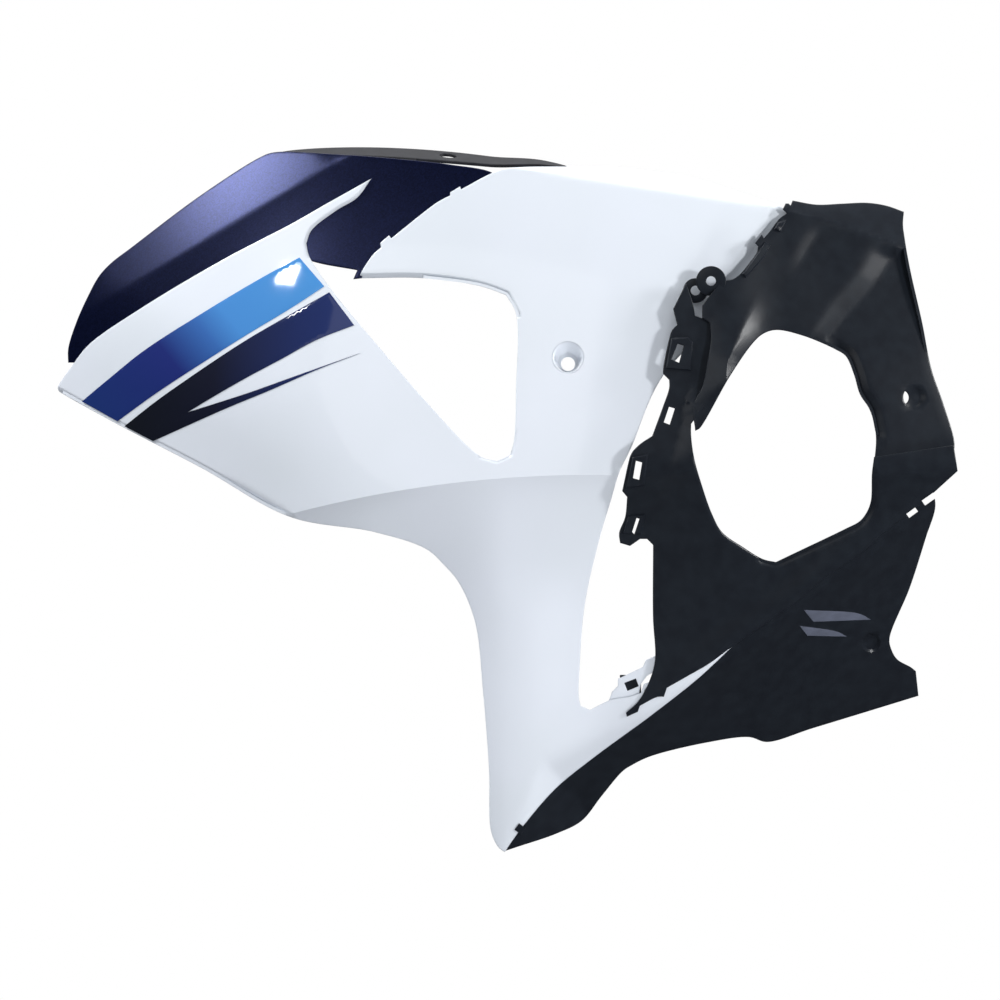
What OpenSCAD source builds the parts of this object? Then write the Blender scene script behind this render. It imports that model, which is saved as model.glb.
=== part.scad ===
/* [Overall] */
// Length of the whole side, nose tip to rear edge
side_length = 905; // [880:5:930]
// Height of the whole side, belly tip to the top of the nose panel
side_height = 702; // [684:3:720]

/* [Mouldings] */
// Wall of every moulded panel, measured straight inboard
wall = 3.2; // [2.4:0.1:4]
// Gap left between two pieces that lap or seat on each other
lap_gap = 0.3; // [0.2:0.1:0.8]
// Thickness of the coloured film
film = 0.4; // [0.2:0.1:0.8]
// How far the turned-in edges reach inboard
lip_reach = 11; // [7:1:14]
// Height of the raised pads round the slots
pad_rise = 2.5; // [1:0.5:4]

/* [Side shape] */
// Depth of the shoulder crease, outboard of the main bolt seat
shoulder_out = 33; // [28:1:40]
// Height of the shoulder crease on the leg, below the main bolt
shoulder_drop = 111; // [100:1:120]
// How much lower the crease is where it leaves the arm
shoulder_fall = 39; // [20:1:45]
// Radius of the side seen from above
plan_radius = 900; // [800:10:1200]
// Radius of the side above the shoulder, seen from the front
crown_radius = 900; // [800:10:1200]
// Lean of the side above the shoulder, inboard for each mm up
lean = 0.10; // [0:0.01:0.2]
// Steepness of the undercut below the shoulder on the leg
undercut_leg = 0.75; // [0.5:0.05:1]
// Extra steepness of the undercut under the arm
undercut_arm = 0.9; // [0:0.05:1.2]
// Steepness of the roll towards the lower edge of the arm
arm_roll = 0.35; // [0:0.05:0.5]
// Radius of the belly, seen from the front
belly_radius = 700; // [600:10:1000]
// How far the middle of the leg stands proud
leg_bulge = 9; // [0:1:14]
// How far the ridge above the lower seam stands proud
ridge_bulge = 11; // [0:1:16]
// Steepness of the face below the ridge
under_slope = 0.9; // [0.6:0.05:1.2]
// Steepness of the roll along the top edge
roll_slope = 1.5; // [0.5:0.1:2]
// How far the slotted flange stands outboard of the painted side
flange_out = 12; // [8:1:16]
// Steepness of the top facet of the nose panel
nose_slope = 1.1; // [0.6:0.1:1.5]
// Steepness of the turned brow along the top of the upper rear panel
brow_slope = 0.6; // [0:0.1:1]

/* [Bores] */
// Bore of the main bolt seat
main_bore_d = 14; // [10:0.5:18]
// Mouth of the main bolt cup
cup_mouth_d = 31; // [24:1:36]
// Flat floor of the main bolt cup
cup_floor_d = 20; // [18:0.5:23]
// How far the mouth of the cup sits above its bore
cup_rise = 6.5; // [0:0.5:6.5]
// Bore of the ear on the upper rear panel
upper_ear_d = 9.6; // [6:0.1:12]
// Bore of the ear on the middle panel
mid_ear_d = 9.6; // [6:0.1:12]
// Width of the ear on the upper rear panel
ear_d = 30; // [24:1:34]
// Width of the ear on the middle panel
mid_ear_w = 25; // [20:1:28]
// Thickness of both ears
ear_t = 4; // [3:0.5:6]
// Bolt hole in the recess of the upper rear panel, half behind the recess's front edge
rear_hole_d = 15; // [10:0.5:16]
// Recess at the rear edge of the upper rear panel
rear_mouth_d = 26; // [22:1:28]
// Dimple near the tail of the under cowl
dimple_d = 20; // [16:1:24]
// Hole in the top strip
strip_hole_d = 17; // [10:0.5:20]

/* [Top strip] */
// Width of the top strip, front edge to back edge
strip_w = 43; // [30:1:55]
// Thickness of the top strip
strip_t = 3; // [2:0.5:4]

/* [Fixings] */
// Outer diameter of a screw boss
boss_d = 8; // [6.5:0.5:9]
// Diameter of a screw's shank
screw_d = 4; // [3:0.1:4.5]
// Diameter of a screw's washer flange
flange_d = 13; // [11:0.5:16]
// Width across the corners of a screw's head
head_d = 8; // [6:0.5:10]

/* [Hidden] */

grid = 20;
reach = 400;
layer = wall + lap_gap;
slack = 0.5;
flange_t = 1.5;
head_t = 3;
boss_roof = 1.5;

// Places are [x, z] as seen from the side: x rearward and z up from the main bolt
stretch = [side_length / 905, side_height / 702];
function place(x, z) = [x * stretch.x, z * stretch.y];
function sized(list) = [for (p = list) len(p) < 3 ? place(p.x, p.y)
                                                  : [p.x * stretch.x, p.y * stretch.y, p[2]]];
upper_ear_at = place(143, 83);
mid_ear_at = place(127.5, 73.5);
rear_mouth_at = place(347, -33);
rear_hole_at = place(333.5, -33.5);
dimple_at = place(304, -279);
cup_mouth_at = [0, cup_rise];
nose_screws_at = sized([[-385, 74], [-307, 117], [-150, 138], [-100, 170]]);
rim_screws_at = sized([[196, 113], [213, 134]]);
seam_screws_at = sized([[330, -98], [368, -92]]);
spike_screws_at = sized([[81, -328], [122, -303]]);
belly_screws_at = sized([[1, -403], [49, -366]]);
keel_screws_at = sized([[228, -228], [287, -184]]);
strip_screws_at = sized([[-250, 188], [-160, 184]]);

// A step from 0 to 1 with soft ends
function soft_step(t) = let (c = min(1, max(0, t))) c * c * (3 - 2 * c);
// Zero below, t above, with a round bend of half width w between
function ramp(t, w) = t < -w ? 0 : t > w ? t : (t + w) * (t + w) / (4 * w);
// Distance of p to the left of the line from a to b
function past(p, a, b) = let (d = b - a) ((p.x - a.x) * -d.y + (p.y - a.y) * d.x) / norm(d);

// Height of the shoulder crease along the side: level on the leg, falling along the arm
widest_x = 20 * stretch.x;
crease_run = 298 * stretch.x;
function crease_z(x) = -stretch.y
    * (shoulder_drop + shoulder_fall * pow(max(0, widest_x - x) / crease_run, 2));

// Height of the ridge above the lower seam
ridge_start = place(59, -353);
ridge_rise = 0.60 * stretch.y / stretch.x;
ridge_bend = 0.000435 * stretch.y / pow(stretch.x, 2);
function ridge_z(x) = let (run = x - ridge_start.x)
    ridge_start.y + ridge_rise * run + ridge_bend * run * run;

// The face below the ridge starts at it, and on the leg at a crease of its own
ridge_face = 0.8;
ridge_round = 8;
leg_crease = sized([[7, -337], [-63, -489]]);
function below_ridge(x, z) =
    min(ridge_face * (ridge_z(x) - z), past([x, z], leg_crease[0], leg_crease[1]));

// Where each form of the side starts, and over what length it comes in
undercut_from = -60 * stretch.x;
undercut_fade = 130 * stretch.x;
undercut_turn = 60;
leg_x = -42 * stretch.x;
leg_spread = 45 * stretch.x;
leg_top = -170 * stretch.y;
leg_fade = 90 * stretch.y;
ridge_spread = 32 * stretch.y;
ridge_from = 20 * stretch.x;
ridge_fade = 60 * stretch.x;
arm_edge = sized([[-515, -25], [-278, -153]]);
arm_roll_w = 85;
arm_round = 45;
arm_end = -150 * stretch.x;
arm_fade = 180 * stretch.x;

// Depth of the side that all panels share; outboard is negative
function side_y(x, z) =
    let (s = z - crease_z(x), up = max(0, s), down = max(0, -s),
         cut = undercut_leg + undercut_arm * soft_step((undercut_from - x) / undercut_fade))
    -shoulder_out + pow(x - widest_x, 2) / (2 * plan_radius)
    + lean * up + up * up / (2 * crown_radius)
    + cut * down / (1 + down / undercut_turn) + down * down / (2 * belly_radius)
    - leg_bulge * exp(-pow((x - leg_x) / leg_spread, 2)) * soft_step((leg_top - z) / leg_fade)
    - ridge_bulge * exp(-pow((z - ridge_z(x)) / ridge_spread, 2))
        * soft_step((x - ridge_from) / ridge_fade)
    + under_slope * ramp(below_ridge(x, z), ridge_round)
    + arm_roll * ramp(arm_roll_w - past([x, z], arm_edge[0], arm_edge[1]), arm_round)
        * soft_step((arm_end - x) / arm_fade);

// Depth of the outer panel, which rolls over along its top edge
roll_line = sized([[195, 160], [-38, 196]]);
roll_round = 3;
function cowl_y(x, z) = side_y(x, z)
    + roll_slope * ramp(-past([x, z], roll_line[0], roll_line[1]), roll_round);

// Depth of the nose panel, one layer in, with its top facet
nose_crease = sized([[-460, 62], [-243, 189]]);
nose_crease_top = 200 * stretch.y;
nose_round = 4;
function nose_y(x, z) = side_y(x, z) + layer
    + nose_slope * ramp(min(past([x, z], nose_crease[0], nose_crease[1]), z - nose_crease_top),
                        nose_round);
function strip_tab_y(x, z) = nose_y(x, z) + layer;

// The black panels lie over the outer one, and their slotted flange stands further out
flange_from = 150 * stretch.x;
flange_fade = 70 * stretch.x;
flange_low = -260 * stretch.y;
flange_rise = 140 * stretch.y;
function lift(x, z) = layer + flange_out * (1 - soft_step((x - flange_from) / flange_fade))
    * soft_step((z - flange_low) / flange_rise);

// Forward of here the upper panel lies over the middle one, and rearward under it
rear_from = 200 * stretch.x;
rear_fade = 80 * stretch.x;
function rear_share(x) = soft_step((x - rear_from) / rear_fade);
brow_line = sized([[224, 152], [330, 118]]);
function upper_y(x, z) = side_y(x, z) - lift(x, z) - layer * (1 - rear_share(x))
    + brow_slope * ramp(past([x, z], brow_line[0], brow_line[1]), roll_round);
function mid_y(x, z) = side_y(x, z) - lift(x, z) - layer * rear_share(x);

// The under cowl starts behind the outer panel and comes level with it past its tip
seam_from = 165 * stretch.x;
seam_fade = 45 * stretch.x;
function under_y(x, z) = side_y(x, z) + layer * (1 - soft_step((x - seam_from) / seam_fade))
    - layer * rear_share(x);

// Outer panel: lower edge and leg, belly tip, gap, rear and top, vent, and the arm's top edge
cowl_low = sized([
    [-515, -25, 5], [-452, -60], [-367, -104], [-278, -153], [-194, -168], [-142, -185],
    [-124, -201], [-109, -219], [-93, -258], [-85, -328], [-79, -407]]);
cowl_belly = sized([
    [-77, -468], [-69, -485], [-63, -489], [-58, -481], [-41, -458], [-12, -425], [26, -394],
    [83, -352], [131, -314], [164, -283], [158, -272], [132, -287], [87, -316], [76, -320],
    [73, -329], [60, -333], [43, -336], [22, -346], [13, -342], [11, -334]]);
cowl_gap = sized([[12, -299], [17, -240], [32, -173], [43, -136], [51, -109], [63, -84]]);
cowl_top = sized([
    [95, -12], [185, 78], [208, 112], [229, 147, 4], [217, 156], [187, 167], [120, 188],
    [80, 194], [40, 198], [4, 198], [-62, 196], [-77, 191], [-107, 175], [-108, 178],
    [-118, 172], [-118, 169], [-131, 162], [-177, 126], [-179, 129], [-184, 125], [-188, 121],
    [-187, 117], [-194, 111], [-207, 92], [-209, 86]]);
cowl_vent = sized([
    [-145, 86], [-88, 78], [-62, 69], [-52, 50], [-52, -24], [-54, -76], [-58, -91], [-71, -97],
    [-88, -92], [-145, -34], [-188, 16], [-217, 50], [-240, 79]]);
cowl_arm = sized([
    [-259, 108], [-262, 121], [-257, 134], [-232, 154], [-211, 167], [-197, 186], [-240, 162],
    [-275, 142], [-346, 105], [-429, 56], [-481, 20], [-498, -1]]);
cowl_outline = concat(cowl_low, cowl_belly, cowl_gap, cowl_top, cowl_vent, cowl_arm);
bracket_outline = sized([
    [38, -342], [42, -334], [44, -328], [50, -322], [50, -315], [75, -303], [78, -296],
    [87, -292], [98, -302], [79, -312], [73, -320], [70, -336], [56, -342]]);
bracket_hole = place(64, -321);
bracket_hole_size = [13, 10];
bracket_turn = 20;

// Nose panel: its front edge, then its top and its lower edge with a small lug at the vent
nose_front = sized([
    [-502, 16], [-494, 42], [-482, 69], [-471, 89], [-459, 102], [-438, 118], [-370, 169]]);
nose_rest = sized([
    [-309, 208], [-295, 213], [-234, 211], [-171, 206], [-117, 200], [-76, 192], [-62, 180],
    [-121, 147], [-166, 112], [-182, 97], [-196, 92], [-206, 92], [-206, 86], [-215, 85],
    [-211, 94], [-256, 103], [-285, 116], [-350, 89], [-433, 39], [-487, 2], [-502, 2]]);
nose_outline = concat(nose_front, nose_rest);

// Upper rear panel: hook and top, rear edge, lower edge, opening, and the toothed front edge
upper_top = sized([
    [215, 155], [218, 161], [221, 161], [223, 159], [225, 164], [249, 160], [274, 161],
    [300, 162], [320, 159], [337, 153]]);
upper_rear = sized([[336, 139], [342, 100], [355, 41], [364, -5], [376, -40], [387, -80]]);
upper_low = sized([[384, -97], [305, -109]]);
upper_opening = sized([
    [308, -71], [302, -46], [292, -30], [286, -10], [278, 8], [269, 14], [236, 28], [208, 34],
    [195, 30], [185, 21], [162, -12]]);
upper_front = sized([
    [131, -65], [127, -67], [125, -41], [134, -23], [139, 0], [143, 26], [142, 41], [134, 46],
    [134, 58], [143, 70], [156, 83], [165, 85], [173, 91], [182, 102], [189, 112], [190, 118],
    [187, 121], [194, 130], [196, 126], [202, 133], [212, 146], [219, 151]]);
upper_outline = concat(upper_top, upper_rear, upper_low, upper_opening, upper_front);
rim_pads = [
    sized([[174, 90], [182, 101], [190, 112], [197, 123], [203, 119], [197, 108], [178, 86]]),
    sized([[210, 142], [219, 145], [213, 132], [206, 135]])];

// Middle panel: ear and slotted flange, gap edge, spike and lower seam, and the opening
mid_flange = sized([
    [118, 81], [105, 55], [109, 39], [104, 34], [101, 25], [95, -5], [95, -10], [101, -16],
    [101, -24], [95, -42], [84, -72], [72, -80], [64, -88], [62, -92], [54, -127], [59, -133],
    [57, -153], [51, -169], [52, -179], [62, -182], [72, -175], [79, -175]]);
mid_gap = sized([[85, -181], [85, -253]]);
mid_seam = sized([
    [87, -296], [81, -318], [70, -338], [58, -349], [59, -353], [74, -345], [100, -325],
    [122, -312], [141, -300], [164, -283], [196, -261], [233, -235], [260, -212], [292, -191],
    [321, -165], [339, -153], [358, -136], [390, -107], [386, -81], [306, -93], [304, -109]]);
mid_opening = sized([
    [303, -137], [299, -148], [292, -157], [277, -165], [231, -187], [208, -198], [195, -195],
    [175, -183], [154, -168], [144, -150], [134, -122], [126, -94]]);
mid_front = sized([
    [123, -71], [123, -60], [134, -45], [144, -23], [149, 0], [150, 26], [140, 44], [127, 48],
    [125, 60]]);
mid_outline = concat(mid_flange, mid_gap, mid_seam, mid_opening, mid_front);
slots_at = sized([[109, 10], [101, -52], [69, -107], [67, -162]]);
slot_sizes = [[9, 17], [8, 15], [8, 16], [6, 14]];
slots_turn = 12;
slot_pads = [
    sized([[103, 26], [124, 27], [123, -7], [97, -5]]),
    sized([[64, -93], [80, -90], [76, -122], [57, -125]]),
    sized([[60, -151], [77, -150], [74, -171], [54, -170]])];
rear_slots_at = sized([[344.5, -148.7], [361.5, -135]]);
rear_slot_sizes = [[11, 5], [14, 6]];
rear_slots_turn = -36;

// Under cowl: belly tip, lower edge, tail, and the edge that hides behind its neighbours
under_tip = sized([[-63, -488], [-51, -484]]);
under_low = sized([
    [-12, -471], [14, -458], [34, -433], [55, -408], [64, -402], [83, -393], [141, -379],
    [182, -374], [200, -379], [247, -365], [353, -333]]);
under_rest = sized([
    [350, -308], [345, -304], [331, -296], [325, -286], [323, -275], [343, -224], [359, -173],
    [368, -142], [364, -122], [329, -139], [282, -177], [224, -220], [160, -266], [122, -314],
    [73, -348], [17, -381], [-23, -414], [-50, -445], [-62, -468]]);
under_outline = concat(under_tip, under_low, under_rest);
backing_outline = sized([[52, -311], [73, -311], [74, -366], [60, -366], [52, -345]]);
hook_outline = sized([[-53.5, -466.5], [-46.9, -471.4], [-42.2, -465], [-48.8, -460.1]]);
hook_foot = sized([[-48.7, -470.1], [-46.9, -471.4], [-42.2, -465], [-44, -463.7]]);
hook_t = 1.6;

// Films on the arm and the under cowl
blue_outline = sized([
    [-488, -37], [-452, -57], [-413, -29], [-367, 1], [-321, 30], [-276, 57], [-244, 78],
    [-269, 107], [-310, 85], [-367, 51], [-425, 14], [-459, -13]]);
navy_outline = sized([
    [-445, -62], [-413, -37], [-367, -5], [-321, 25], [-276, 51], [-239, 72], [-214, 39],
    [-252, 24], [-287, 5], [-321, -13], [-356, -33], [-381, -48], [-321, -29], [-276, -13],
    [-208, 11], [-252, -6], [-298, -26], [-344, -45], [-416, -77]]);
darts_outline = [
    sized([[236, -246], [292, -250], [304, -256], [246, -258]]),
    sized([[232, -262], [270, -268], [280, -273], [240, -272]])];
film_lift = 0.05;

// Swaps each sharp corner that carries a radius for a short arc
function corner(a, b, c, r) =
    let (u = (a - b) / norm(a - b), v = (c - b) / norm(c - b),
         half = acos(u * v) / 2, cut = r / tan(half),
         centre = b + (u + v) / norm(u + v) * r / sin(half), p = b + u * cut, q = b + v * cut)
    [for (i = [0:4]) let (w = p + (q - p) * i / 4 - centre) centre + w / norm(w) * r];
function rounded(list) = [for (i = [0:len(list) - 1])
    let (n = len(list), a = list[(i + n - 1) % n], b = list[i], c = list[(i + 1) % n])
    each (len(b) < 3 ? [b] : corner([a.x, a.y], [b.x, b.y], [c.x, c.y], b[2]))];

function inside(p, shape) = len([for (i = [0:len(shape) - 1])
    let (a = shape[i], b = shape[(i + 1) % len(shape)])
    if ((a.y > p.y) != (b.y > p.y)
        && p.x < a.x + (p.y - a.y) * (b.x - a.x) / (b.y - a.y)) 1]) % 2 == 1;
function off_edge(p, a, b) =
    let (d = b - a, t = min(1, max(0, (p - a) * d / (d * d)))) norm(p - a - d * t);
function near(p, shape) = inside(p, shape) || min([for (i = [0:len(shape) - 1])
    off_edge(p, shape[i], shape[(i + 1) % len(shape)])]) < 0.85 * grid;

// A curved plate that covers a shape, from one depth behind the outer face to another
module plate(shape, from_y, to_y, depth) {
    bed = [for (p = shape) [p.x, p.y - crease_z(p.x)]];
    i0 = floor(min([for (p = bed) p.x]) / grid) - 1;
    i1 = ceil(max([for (p = bed) p.x]) / grid) + 1;
    j0 = floor(min([for (p = bed) p.y]) / grid) - 1;
    j1 = ceil(max([for (p = bed) p.y]) / grid) + 1;
    rows = j1 - j0 + 1;
    places = [for (i = [i0:i1], j = [j0:j1]) [i * grid, crease_z(i * grid) + j * grid]];
    count = len(places);
    held = [for (p = places) near(p, shape)];
    function at(i, j) = (i - i0) * rows + j - j0;
    function cell(i, j) = i >= i0 && j >= j0 && i < i1 && j < j1
        && (held[at(i, j)] || held[at(i + 1, j)] || held[at(i, j + 1)] || held[at(i + 1, j + 1)]);
    function wall_between(a, b) = [[a, b, b + count], [a, b + count, a + count]];
    points = concat([for (p = places) [p.x, depth(p.x, p.y) + from_y, p.y]],
                    [for (p = places) [p.x, depth(p.x, p.y) + to_y, p.y]]);
    faces = [for (i = [i0:i1 - 1], j = [j0:j1 - 1]) if (cell(i, j))
        let (a = at(i, j), b = at(i + 1, j), c = at(i + 1, j + 1), d = at(i, j + 1))
        each concat(
            [[a, d, c], [a, c, b], [a + count, c + count, d + count],
             [a + count, b + count, c + count]],
            cell(i - 1, j) ? [] : wall_between(d, a),
            cell(i + 1, j) ? [] : wall_between(b, c),
            cell(i, j - 1) ? [] : wall_between(a, b),
            cell(i, j + 1) ? [] : wall_between(c, d))];
    polyhedron(points, faces, convexity = 10);
}

module prism(shape) {
    rotate([90, 0, 0]) translate([0, 0, -reach]) linear_extrude(2 * reach) polygon(shape);
}

module panel(shape, depth, from_y = 0, to_y = wall) {
    intersection() {
        plate(shape, from_y, to_y, depth);
        prism(shape);
    }
}

// A turned-in edge: a ribbon behind the panel, on the left of its path and just inside the edge
function reversed(list) = [for (i = [len(list) - 1:-1:0]) list[i]];
lip_inset = 0.2;
module lip(path, depth) {
    n = len(path);
    function across(i) = let (a = path[max(0, i - 1)], b = path[min(n - 1, i + 1)])
        [a.y - b.y, b.x - a.x] / norm([b.x - a.x, b.y - a.y]);
    function spot(i, by) = [path[i].x, path[i].y] + by * across(i);
    places = [for (i = [0:n - 1]) each [spot(i, lip_inset), spot(i, lip_inset + wall)]];
    count = 2 * n;
    points = concat([for (p = places) [p.x, depth(p.x, p.y) + wall / 2, p.y]],
                    [for (p = places) [p.x, depth(p.x, p.y) + lip_reach, p.y]]);
    function quad(a, b, c, d) = [[a, c, b], [a, d, c]];
    faces = concat(
        quad(0, 1, 1 + count, count),
        quad(count - 1, count - 2, 2 * count - 2, 2 * count - 1),
        [for (i = [0:n - 2]) let (a = 2 * i, b = a + 2) each concat(
            quad(a, b, b + 1, a + 1), quad(a + count, a + 1 + count, b + 1 + count, b + count),
            quad(a, a + count, b + count, b), quad(a + 1, b + 1, b + 1 + count, a + 1 + count))]);
    polyhedron(points, faces, convexity = 6);
}

// A box cut straight through at a place, as wide and high as its size, turned by an angle
module slot(at, size, turn) {
    translate([at.x, 0, at.y]) rotate([0, turn, 0])
        cube([size.x, 2 * reach, size.y], center = true);
}

// A round bar along the way in, from one depth to another
module bar(at, d, from_y, to_y, sides = 48) {
    translate([at.x, from_y, at.y]) rotate([-90, 0, 0]) cylinder(h = to_y - from_y, d = d, $fn = sides);
}

module drill(at, d) {
    bar(at, d, -reach, reach);
}

// Deepest value of a depth on a circle
function deepest(at, r, depth) =
    max([for (a = [0:45:315]) depth(at.x + r * cos(a), at.y + r * sin(a))]);
boss_sink = 0.6 * wall;
function boss_start(at, outer) = deepest(at, boss_d / 2, outer) + wall - boss_sink;
function boss_end(at, inner) = deepest(at, flange_d / 2, inner) + wall + lap_gap;

// A flat seat for a bolt, at the bottom of a round recess in a panel
function seat_y(at, mouth_d, outer) = deepest(at, mouth_d / 2, outer) + slack;

module seat(at, mouth_d, floor_y, outer) {
    d = mouth_d + 2 * wall;
    covered = 0.8 * d;
    intersection() {
        plate([for (a = [45:90:315]) at + covered * [cos(a), sin(a)]], 0, floor_y + reach, outer);
        bar(at, d, -reach, floor_y + wall);
    }
}

module rear_slots() {
    for (i = [0:len(rear_slots_at) - 1]) slot(rear_slots_at[i], rear_slot_sizes[i], rear_slots_turn);
}

module bosses(list, outer, inner) {
    for (at = list) difference() {
        bar(at, boss_d, boss_start(at, outer), boss_end(at, inner));
        bar(at, screw_d + lap_gap, boss_start(at, outer) + boss_roof, boss_end(at, inner) + 1);
    }
}

module boss_holes(list) {
    for (at = list) drill(at, boss_d + 2 * slack);
}

module screws(list, outer, inner) {
    for (at = list) {
        seat = boss_end(at, inner) + lap_gap;
        union() {
            bar(at, screw_d, boss_start(at, outer) + boss_roof + slack, seat + flange_t / 2);
            bar(at, flange_d, seat, seat + flange_t);
            bar(at, head_d, seat + flange_t, seat + flange_t + head_t, 6);
        }
    }
}

// The cup of the main bolt: a round mouth, then a taper to its flat floor round the bore
cup_taper = 8;
module cup_hole() {
    bar(cup_mouth_at, cup_mouth_d, -reach, -cup_taper);
    hull() {
        bar(cup_mouth_at, cup_mouth_d, -cup_taper - 0.1, -cup_taper);
        bar(cup_mouth_at * 0.3, cup_floor_d, -0.1, 0);
    }
}

// Front edge of the top strip for t from 0 to 1: it falls rearward and steps up at the outer panel
strip_x = [-292 * stretch.x, 2 * stretch.x];
strip_top = 212 * stretch.y;
strip_fall = 20;
strip_step = 5;
strip_step_from = 0.72;
strip_step_run = 0.2;
function strip_at(t) = strip_x[0] + (strip_x[1] - strip_x[0]) * t;
function strip_front_z(t) = strip_top - strip_fall * pow(t, 1.7)
    + strip_step * soft_step((t - strip_step_from) / strip_step_run);
function strip_front_y(t) = max(nose_y(strip_at(t), strip_front_z(t)),
    t < 0.7 ? -reach : cowl_y(strip_at(t), strip_front_z(t))) + wall + lap_gap;

// How much of its width the strip has there, and how far its back edge rises
strip_least = 0.12;
strip_rise = 10;
function strip_bow(t) = pow(sin(180 * t), 0.6);
function strip_depth(t) = strip_w * max(strip_least, strip_bow(t));
strip_hole_x = -120 * stretch.x;
strip_tab = [16, 22];

function depth_cowl() = function (x, z) cowl_y(x, z);
function depth_nose() = function (x, z) nose_y(x, z);
function depth_upper() = function (x, z) upper_y(x, z);
function depth_mid() = function (x, z) mid_y(x, z);
function depth_under() = function (x, z) under_y(x, z);
function depth_strip_tab() = function (x, z) strip_tab_y(x, z);

module main_cowl() {
    color("#e9eef6") difference() {
        union() {
            panel(rounded(cowl_outline), depth_cowl());
            for (path = [cowl_low, cowl_gap, cowl_vent]) lip(path, depth_cowl());
            seat(cup_mouth_at, cup_mouth_d, 0, depth_cowl());
            difference() {
                panel(bracket_outline, depth_cowl(), wall - slack, 2 * wall - slack);
                slot(bracket_hole, bracket_hole_size, -bracket_turn);
            }
            bosses(nose_screws_at, depth_cowl(), depth_nose());
            bosses(belly_screws_at, depth_cowl(), depth_under());
        }
        cup_hole();
        drill([0, 0], main_bore_d);
        boss_holes(rim_screws_at);
        boss_holes(spike_screws_at);
    }
}

module nose_panel() {
    color("#232a5a") difference() {
        union() {
            panel(nose_outline, depth_nose());
            lip(reversed(nose_front), depth_nose());
            bosses(strip_screws_at, depth_nose(), depth_strip_tab());
        }
        boss_holes(nose_screws_at);
    }
}

module top_strip() {
    steps = 16;
    rows = [0, 0.5, 1];
    tops = [for (i = [0:steps], v = rows) let (t = i / steps)
        [strip_at(t), strip_front_y(t) + strip_depth(t) * v,
         strip_front_z(t) + strip_rise * strip_bow(t) * v]];
    count = len(tops);
    n = len(rows);
    points = concat(tops, [for (p = tops) p - [0, 0, strip_t]]);
    faces = concat(
        [for (i = [0:steps - 1], j = [0:n - 2]) let (a = i * n + j, b = a + n)
            each [[a, a + 1, b + 1], [a, b + 1, b],
                  [a + count, b + 1 + count, a + 1 + count], [a + count, b + count, b + 1 + count]]],
        [for (i = [0:steps - 1]) let (a = i * n, b = a + n)
            each [[a, b, b + count], [a, b + count, a + count],
                  [b + n - 1, a + n - 1, a + n - 1 + count],
                  [b + n - 1, a + n - 1 + count, b + n - 1 + count]]],
        [for (j = [0:n - 2]) let (a = j, b = steps * n + j)
            each [[a + 1, a, a + count], [a + 1, a + count, a + 1 + count],
                  [b, b + 1, b + 1 + count], [b, b + 1 + count, b + count]]]);
    hole_t = (strip_hole_x - strip_x[0]) / (strip_x[1] - strip_x[0]);
    color("#2b2c2e") difference() {
        union() {
            polyhedron(points, faces);
            for (at = strip_screws_at) panel([for (c = [[-1, -0.5], [1, -0.5], [1, 1], [-1, 1]])
                at + [c.x * strip_tab.x / 2, c.y * strip_tab.y]], depth_strip_tab());
        }
        translate([strip_hole_x, strip_front_y(hole_t) + strip_w * 0.55, 0])
            cylinder(h = reach, d = strip_hole_d, $fn = 48);
        boss_holes(strip_screws_at);
    }
}

module upper_rear_panel() {
    ear_y = upper_y(upper_ear_at.x, upper_ear_at.y);
    floor_y = seat_y(rear_mouth_at, rear_mouth_d, depth_upper());
    color("#1a1d21") difference() {
        union() {
            panel(upper_outline, depth_upper());
            for (pad = rim_pads) panel(pad, depth_upper(), -pad_rise, wall / 2);
            for (path = [upper_rear, upper_opening]) lip(reversed(path), depth_upper());
            bar(upper_ear_at, ear_d, ear_y, ear_y + ear_t);
            seat(rear_mouth_at, rear_mouth_d, floor_y, depth_upper());
            bosses(rim_screws_at, depth_upper(), depth_cowl());
        }
        drill(upper_ear_at, upper_ear_d);
        bar(rear_mouth_at, rear_mouth_d, -reach, floor_y);
        intersection() {
            drill(rear_mouth_at, rear_mouth_d);
            drill(rear_hole_at, rear_hole_d);
        }
        boss_holes(seam_screws_at);
    }
}

module mid_panel() {
    ear_seat_y = upper_y(upper_ear_at.x, upper_ear_at.y) + ear_t + lap_gap;
    color("#1a1d21") difference() {
        union() {
            panel(mid_outline, depth_mid());
            for (pad = slot_pads) panel(pad, depth_mid(), -pad_rise, wall / 2);
            for (path = [mid_gap, mid_opening]) lip(path, depth_mid());
            bar(mid_ear_at, mid_ear_w, mid_y(mid_ear_at.x, mid_ear_at.y), ear_seat_y + ear_t);
            bosses(seam_screws_at, depth_mid(), depth_upper());
            bosses(spike_screws_at, depth_mid(), depth_cowl());
            bosses(keel_screws_at, depth_mid(), depth_under());
        }
        bar(upper_ear_at, ear_d + 2 * slack, -reach, ear_seat_y);
        drill(mid_ear_at, mid_ear_d);
        for (i = [0:len(slots_at) - 1]) slot(slots_at[i], slot_sizes[i], slots_turn);
        rear_slots();
    }
}

// The hook at the belly tip reaches round the edge of the outer panel and over its face
hook_out = layer + lap_gap;

module under_cowl() {
    floor_y = seat_y(dimple_at, dimple_d, depth_under());
    color("#1a1d21") difference() {
        union() {
            panel(under_outline, depth_under());
            lip(under_low, depth_under());
            panel(backing_outline, depth_under(), wall - slack, 2 * wall - slack);
            panel(hook_outline, depth_under(), -hook_out - hook_t, -hook_out);
            panel(hook_foot, depth_under(), -hook_out - hook_t / 2, wall / 2);
            seat(dimple_at, dimple_d, floor_y, depth_under());
        }
        bar(dimple_at, dimple_d, -reach, floor_y);
        rear_slots();
        boss_holes(belly_screws_at);
        boss_holes(keel_screws_at);
    }
}

module decal(shape, depth) {
    panel(shape, depth, -film - film_lift, -film_lift);
}

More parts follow.
